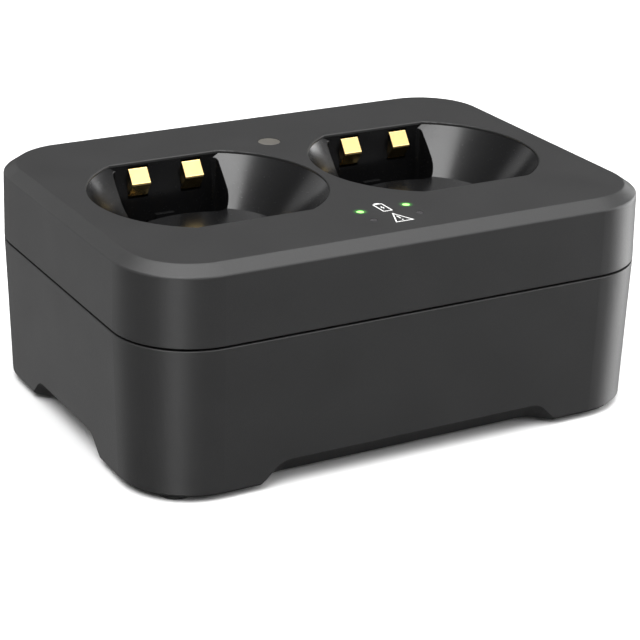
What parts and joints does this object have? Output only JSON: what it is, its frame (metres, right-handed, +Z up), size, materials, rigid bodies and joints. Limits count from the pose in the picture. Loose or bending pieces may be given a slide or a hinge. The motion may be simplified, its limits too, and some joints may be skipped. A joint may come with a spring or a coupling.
{
  "type": "two-bay battery charging dock",
  "caption": "Desktop charging dock with round funnel wells, deep battery pockets and sprung gold contacts, on rubber feet.",
  "frame": {"origin": "bottom of the rubber feet, under the centre of the dock", "axes": "+X along the long side to the right, +Z up; the front, with the indicator lights, faces -Y"},
  "size_m": [0.145, 0.1058, 0.0594],
  "materials": {
    "housing_plastic": "fine moulded grain, dark charcoal",
    "liner_gloss_plastic": "polished black",
    "contact_gold": "gold flash over spring bronze, polished",
    "foot_rubber": "matte black",
    "inner_black_plastic": "plain moulded",
    "circuit_board": "green solder mask over glass laminate",
    "connector_plastic": "natural nylon",
    "nickel_plate": "bright nickel",
    "screw_steel": "zinc plated",
    "chip_resin": "moulded resin",
    "coil_ferrite": "pressed ferrite",
    "capacitor_can": "bright can",
    "fuse_ceramic": "white ceramic",
    "ribbon_film": "flat film cable",
    "led_package": "clear resin over a white cup",
    "light_guide_green": "clear acrylic, lit green",
    "light_guide_unlit": "smoked clear acrylic, unlit",
    "symbol_print": "white pad print",
    "inlay_satin": "satin turned disc"
  },
  "bodies": {
    "dock": {"base_housing": "housing_plastic", "battery_symbol": "symbol_print", "bay_liner_left": "liner_gloss_plastic", "bay_liner_right": "liner_gloss_plastic", "board_screws": "screw_steel", "board_socket_left": "connector_plastic", "board_socket_right": "connector_plastic", "charge_controllers": "chip_resin", "charge_left_led": "led_package", "charge_left_light_guide": "light_guide_green", "charge_right_led": "led_package", "charge_right_light_guide": "light_guide_green", "contact_board_left": "circuit_board", "contact_board_right": "circuit_board", "contact_carrier_left": "inner_black_plastic", "contact_carrier_right": "inner_black_plastic", "fault_left_led": "led_package", "fault_left_light_guide": "light_guide_unlit", "fault_right_led": "led_package", "fault_right_light_guide": "light_guide_unlit", "fault_symbol": "symbol_print", "filter_capacitors": "capacitor_can", "housing_screws": "screw_steel", "indicator_board": "circuit_board", "indicator_ribbon": "ribbon_film", "indicator_screws": "screw_steel", "inlay_disc": "inlay_satin", "inlet_pin": "nickel_plate", "input_fuse": "fuse_ceramic", "light_shroud": "inner_black_plastic", "liner_screws": "screw_steel", "main_board": "circuit_board", "power_inductors": "coil_ferrite", "power_inlet": "inner_black_plastic", "power_transistors": "chip_resin", "ribbon_socket_lower": "connector_plastic", "ribbon_socket_upper": "connector_plastic", "rubber_foot_front_left": "foot_rubber", "rubber_foot_front_right": "foot_rubber", "rubber_foot_rear_left": "foot_rubber", "rubber_foot_rear_right": "foot_rubber", "status_controller": "chip_resin", "top_cover": "housing_plastic"},
    "battery_leaf_left_inner_spring": {"battery_leaf_left_inner": "contact_gold"},
    "battery_leaf_left_outer_spring": {"battery_leaf_left_outer": "contact_gold"},
    "battery_leaf_right_inner_spring": {"battery_leaf_right_inner": "contact_gold"},
    "battery_leaf_right_outer_spring": {"battery_leaf_right_outer": "contact_gold"},
    "charging_leaf_left_inner_spring": {"charging_leaf_left_inner": "contact_gold"},
    "charging_leaf_left_outer_spring": {"charging_leaf_left_outer": "contact_gold"},
    "charging_leaf_right_inner_spring": {"charging_leaf_right_inner": "contact_gold"},
    "charging_leaf_right_outer_spring": {"charging_leaf_right_outer": "contact_gold"}
  },
  "joints": [
    {"name": "battery_leaf_left_inner_press", "type": "slide", "parent": "dock", "child": "battery_leaf_left_inner_spring", "axis": [0, 1, 0], "range_m": [0, 0.0013], "stiffness_N_per_m": 300},
    {"name": "battery_leaf_left_outer_press", "type": "slide", "parent": "dock", "child": "battery_leaf_left_outer_spring", "axis": [0, 1, 0], "range_m": [0, 0.0013], "stiffness_N_per_m": 300},
    {"name": "battery_leaf_right_inner_press", "type": "slide", "parent": "dock", "child": "battery_leaf_right_inner_spring", "axis": [0, 1, 0], "range_m": [0, 0.0013], "stiffness_N_per_m": 300},
    {"name": "battery_leaf_right_outer_press", "type": "slide", "parent": "dock", "child": "battery_leaf_right_outer_spring", "axis": [0, 1, 0], "range_m": [0, 0.0013], "stiffness_N_per_m": 300},
    {"name": "charging_leaf_left_inner_press", "type": "slide", "parent": "dock", "child": "charging_leaf_left_inner_spring", "axis": [0, 1, 0], "range_m": [0, 0.0013], "stiffness_N_per_m": 300},
    {"name": "charging_leaf_left_outer_press", "type": "slide", "parent": "dock", "child": "charging_leaf_left_outer_spring", "axis": [0, 1, 0], "range_m": [0, 0.0013], "stiffness_N_per_m": 300},
    {"name": "charging_leaf_right_inner_press", "type": "slide", "parent": "dock", "child": "charging_leaf_right_inner_spring", "axis": [0, 1, 0], "range_m": [0, 0.0013], "stiffness_N_per_m": 300},
    {"name": "charging_leaf_right_outer_press", "type": "slide", "parent": "dock", "child": "charging_leaf_right_outer_spring", "axis": [0, 1, 0], "range_m": [0, 0.0013], "stiffness_N_per_m": 300}
  ]
}
